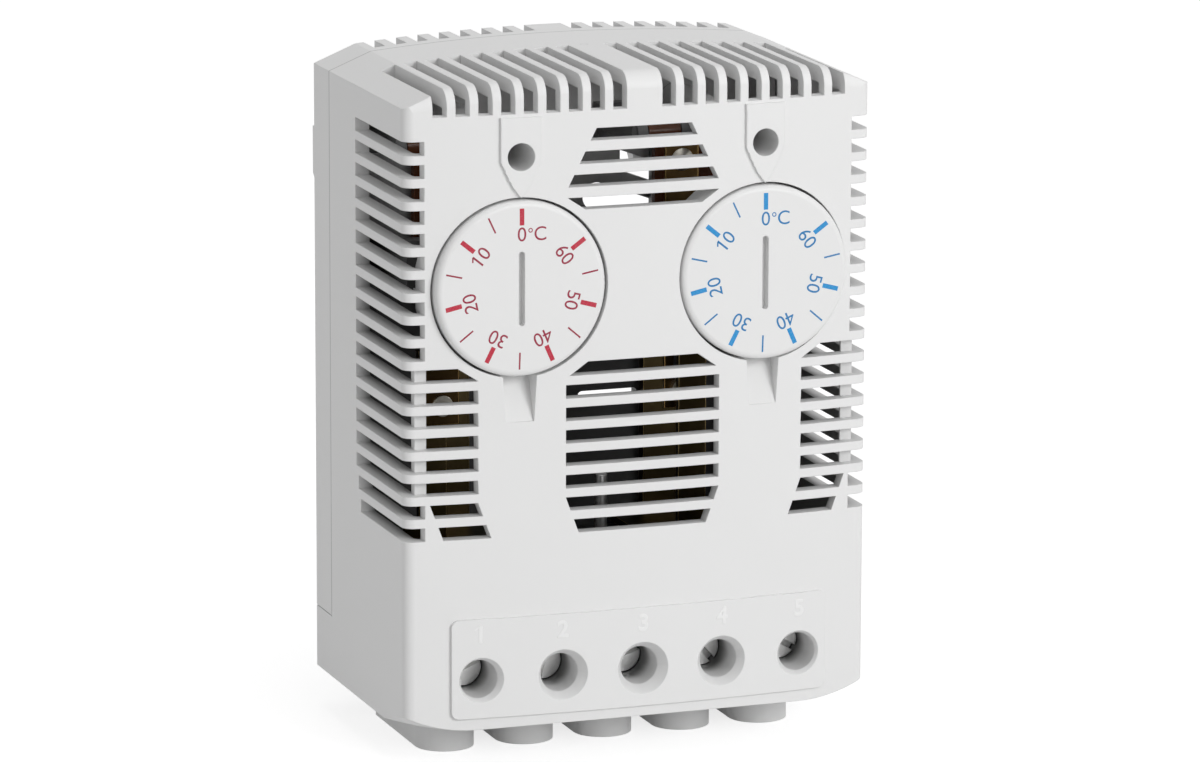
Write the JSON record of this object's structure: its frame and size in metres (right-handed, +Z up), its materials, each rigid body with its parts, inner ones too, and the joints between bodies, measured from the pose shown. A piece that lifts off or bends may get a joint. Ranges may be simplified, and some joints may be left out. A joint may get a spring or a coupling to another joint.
{
  "type": "twin rail-mounted thermostat",
  "caption": "Louvred twin thermostat for a 35 mm mounting rail, with two setting dials, bimetal switches inside, screw terminals below and a sprung rail clip.",
  "frame": {"origin": "middle of the rail channel, in the plane of the seats that rest on the mounting rail", "axes": "X to the right seen from the front, Y back towards the rail, Z up"},
  "size_m": [0.05, 0.0459, 0.0714],
  "materials": {
    "housing_plastic": "matte",
    "terminal_plastic": "matte",
    "dial_plastic": "satin",
    "spindle_steel": "satin",
    "plunger_plastic": "matte",
    "frame_resin": "matte",
    "carrier_resin": "satin",
    "bimetal": "satin",
    "contact_silver": "polished",
    "magnet": "matte",
    "busbar_brass": "satin",
    "screw_steel": "satin",
    "clip_plastic": "matte",
    "spring_steel": "satin"
  },
  "bodies": {
    "root": {"base": "housing_plastic", "cover": "housing_plastic", "cover_screws": "screw_steel", "heating_frame": "frame_resin", "cooling_frame": "frame_resin", "heating_pivot_pin": "spindle_steel", "cooling_pivot_pin": "spindle_steel", "heating_fixed_contact": "contact_silver", "cooling_fixed_contact": "contact_silver", "heating_magnet": "magnet", "cooling_magnet": "magnet", "terminal_block": "terminal_plastic", "busbar_1": "busbar_brass", "busbar_2": "busbar_brass", "busbar_3": "screw_steel", "busbar_4": "busbar_brass", "busbar_5": "busbar_brass"},
    "heating_setting": {"heating_dial": "dial_plastic", "heating_spindle": "spindle_steel"},
    "heating_pusher": {"heating_plunger": "plunger_plastic"},
    "heating_tilt": {"heating_carrier": "carrier_resin", "heating_rivet": "contact_silver"},
    "heating_strip": {"heating_bimetal": "bimetal", "heating_moving_contact": "contact_silver"},
    "cooling_setting": {"cooling_dial": "dial_plastic", "cooling_spindle": "spindle_steel"},
    "cooling_pusher": {"cooling_plunger": "plunger_plastic"},
    "cooling_tilt": {"cooling_carrier": "carrier_resin", "cooling_rivet": "contact_silver"},
    "cooling_strip": {"cooling_bimetal": "bimetal", "cooling_moving_contact": "contact_silver"},
    "clamp_screw_1": {"terminal_screw_1": "screw_steel"},
    "clamp_cage_1": {"terminal_cage_1": "screw_steel"},
    "clamp_screw_2": {"terminal_screw_2": "screw_steel"},
    "clamp_cage_2": {"terminal_cage_2": "screw_steel"},
    "clamp_screw_3": {"terminal_screw_3": "screw_steel"},
    "clamp_cage_3": {"terminal_cage_3": "screw_steel"},
    "clamp_screw_4": {"terminal_screw_4": "screw_steel"},
    "clamp_cage_4": {"terminal_cage_4": "screw_steel"},
    "clamp_screw_5": {"terminal_screw_5": "screw_steel"},
    "clamp_cage_5": {"terminal_cage_5": "screw_steel"},
    "latch": {"rail_clip": "clip_plastic", "clip_spring": "spring_steel"}
  },
  "joints": [
    {"name": "heating_dial_turn", "type": "hinge", "parent": "root", "child": "heating_setting", "pos_m": [-0.01308, -0.0424, 0.0121], "axis": [0, 1, 0], "range_deg": [0, 308.57]},
    {"name": "heating_plunger_slide", "type": "slide", "parent": "root", "child": "heating_pusher", "axis": [0, 1, 0], "range_m": [0, 0.00043]},
    {"name": "heating_carrier_tilt", "type": "hinge", "parent": "root", "child": "heating_tilt", "pos_m": [-0.01808, -0.0255, 0.024], "axis": [1, 0, 0], "range_deg": [0, 2.05]},
    {"name": "heating_bimetal_bend", "type": "hinge", "parent": "heating_tilt", "child": "heating_strip", "pos_m": [-0.01618, -0.02625, 0.02255], "axis": [1, 0, 0], "range_deg": [-2, 0], "stiffness_Nm_per_rad": 0.02},
    {"name": "cooling_dial_turn", "type": "hinge", "parent": "root", "child": "cooling_setting", "pos_m": [0.01308, -0.0424, 0.0121], "axis": [0, 1, 0], "range_deg": [0, 308.57]},
    {"name": "cooling_plunger_slide", "type": "slide", "parent": "root", "child": "cooling_pusher", "axis": [0, 1, 0], "range_m": [0, 0.00043]},
    {"name": "cooling_carrier_tilt", "type": "hinge", "parent": "root", "child": "cooling_tilt", "pos_m": [0.00808, -0.0255, 0.024], "axis": [1, 0, 0], "range_deg": [0, 2.05]},
    {"name": "cooling_bimetal_bend", "type": "hinge", "parent": "cooling_tilt", "child": "cooling_strip", "pos_m": [0.00998, -0.02625, 0.02255], "axis": [1, 0, 0], "range_deg": [-2, 0], "stiffness_Nm_per_rad": 0.02},
    {"name": "screw_1_turn", "type": "hinge", "parent": "root", "child": "clamp_screw_1", "pos_m": [-0.0173, -0.036, -0.0282], "axis": [0, 1, 0], "range_deg": [0, 1800]},
    {"name": "cage_1_slide", "type": "slide", "parent": "root", "child": "clamp_cage_1", "axis": [0, -1, 0], "range_m": [0, 0.0025]},
    {"name": "screw_2_turn", "type": "hinge", "parent": "root", "child": "clamp_screw_2", "pos_m": [-0.00865, -0.036, -0.0282], "axis": [0, 1, 0], "range_deg": [0, 1800]},
    {"name": "cage_2_slide", "type": "slide", "parent": "root", "child": "clamp_cage_2", "axis": [0, -1, 0], "range_m": [0, 0.0025]},
    {"name": "screw_3_turn", "type": "hinge", "parent": "root", "child": "clamp_screw_3", "pos_m": [0, -0.036, -0.0282], "axis": [0, 1, 0], "range_deg": [0, 1800]},
    {"name": "cage_3_slide", "type": "slide", "parent": "root", "child": "clamp_cage_3", "axis": [0, -1, 0], "range_m": [0, 0.0025]},
    {"name": "screw_4_turn", "type": "hinge", "parent": "root", "child": "clamp_screw_4", "pos_m": [0.00865, -0.036, -0.0282], "axis": [0, 1, 0], "range_deg": [0, 1800]},
    {"name": "cage_4_slide", "type": "slide", "parent": "root", "child": "clamp_cage_4", "axis": [0, -1, 0], "range_m": [0, 0.0025]},
    {"name": "screw_5_turn", "type": "hinge", "parent": "root", "child": "clamp_screw_5", "pos_m": [0.0173, -0.036, -0.0282], "axis": [0, 1, 0], "range_deg": [0, 1800]},
    {"name": "cage_5_slide", "type": "slide", "parent": "root", "child": "clamp_cage_5", "axis": [0, -1, 0], "range_m": [0, 0.0025]},
    {"name": "clip_slide", "type": "slide", "parent": "root", "child": "latch", "axis": [0, 0, -1], "range_m": [0, 0.003], "stiffness_N_per_m": 1500, "springref_m": -0.002, "deforming": ["clip_spring"]}
  ],
  "couplings": [
    {"joint": "heating_plunger_slide", "follows": "heating_dial_turn", "m_per_rad": 0.000077058},
    {"joint": "heating_carrier_tilt", "follows": "heating_dial_turn", "ratio": 0.0064815},
    {"joint": "cooling_plunger_slide", "follows": "cooling_dial_turn", "m_per_rad": 0.000077058},
    {"joint": "cooling_carrier_tilt", "follows": "cooling_dial_turn", "ratio": 0.0064815},
    {"joint": "screw_1_turn", "follows": "cage_1_slide", "rad_per_m": 12566},
    {"joint": "screw_2_turn", "follows": "cage_2_slide", "rad_per_m": 12566},
    {"joint": "screw_3_turn", "follows": "cage_3_slide", "rad_per_m": 12566},
    {"joint": "screw_4_turn", "follows": "cage_4_slide", "rad_per_m": 12566},
    {"joint": "screw_5_turn", "follows": "cage_5_slide", "rad_per_m": 12566}
  ]
}
